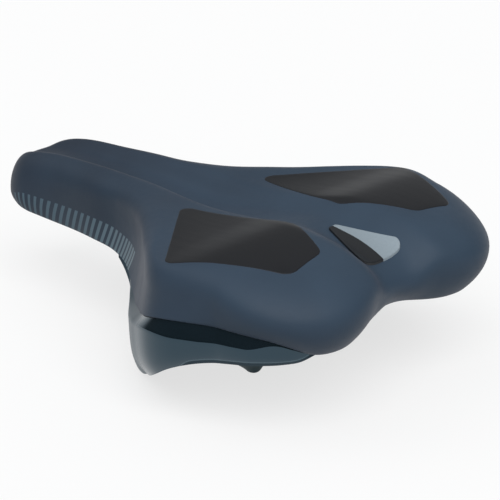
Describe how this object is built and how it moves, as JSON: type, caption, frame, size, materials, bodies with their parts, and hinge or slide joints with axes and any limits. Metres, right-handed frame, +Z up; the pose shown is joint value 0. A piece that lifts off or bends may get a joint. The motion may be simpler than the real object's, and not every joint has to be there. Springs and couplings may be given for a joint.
{
  "type": "bicycle saddle",
  "caption": "Padded bicycle saddle with gel inserts, gloss side fairings and steel rails; the seat rocks on a nose pivot over rubber dampers.",
  "frame": {"origin": "midway between the two rails, at the height of their centre lines, where a seatpost clamp takes hold", "axes": "+X towards the nose, +Y to the rider's left, +Z up"},
  "size_m": [0.2566, 0.1804, 0.0751],
  "materials": {
    "cover_skin": "matte",
    "foam": "matte",
    "gel": "satin",
    "shell_plastic": "matte",
    "fairing_gloss": "gloss",
    "badge_plastic": "satin",
    "rail_steel": "satin",
    "screw_steel": "satin",
    "damper_rubber": "matte"
  },
  "bodies": {
    "frame": {"rail_left": "rail_steel", "rail_right": "rail_steel", "nose_yoke": "shell_plastic", "pivot_pin": "rail_steel", "rear_bridge": "shell_plastic", "damper_left": "damper_rubber", "damper_right": "damper_rubber", "foot_left": "shell_plastic", "foot_right": "shell_plastic", "foot_bolt_left": "rail_steel", "foot_bolt_right": "rail_steel"},
    "seat": {"cover": "cover_skin", "foam_core": "foam", "gel_pad_left": "gel", "gel_pad_right": "gel", "base_shell": "shell_plastic", "side_fairing_left": "fairing_gloss", "side_fairing_right": "fairing_gloss", "fairing_screw_left_1": "screw_steel", "fairing_screw_left_2": "screw_steel", "fairing_screw_right_1": "screw_steel", "fairing_screw_right_2": "screw_steel", "tail_badge": "badge_plastic", "nose_bracket": "shell_plastic", "bracket_screw_left": "screw_steel", "bracket_screw_right": "screw_steel", "upper_cup_left": "shell_plastic", "upper_cup_right": "shell_plastic"}
  },
  "joints": [
    {"name": "seat_rock", "type": "hinge", "parent": "frame", "child": "seat", "pos_m": [0.076, 0, 0.0285], "axis": [0, -1, 0], "range_deg": [0, 2], "stiffness_Nm_per_rad": 2900, "deforming": ["damper_left", "damper_right"]}
  ]
}
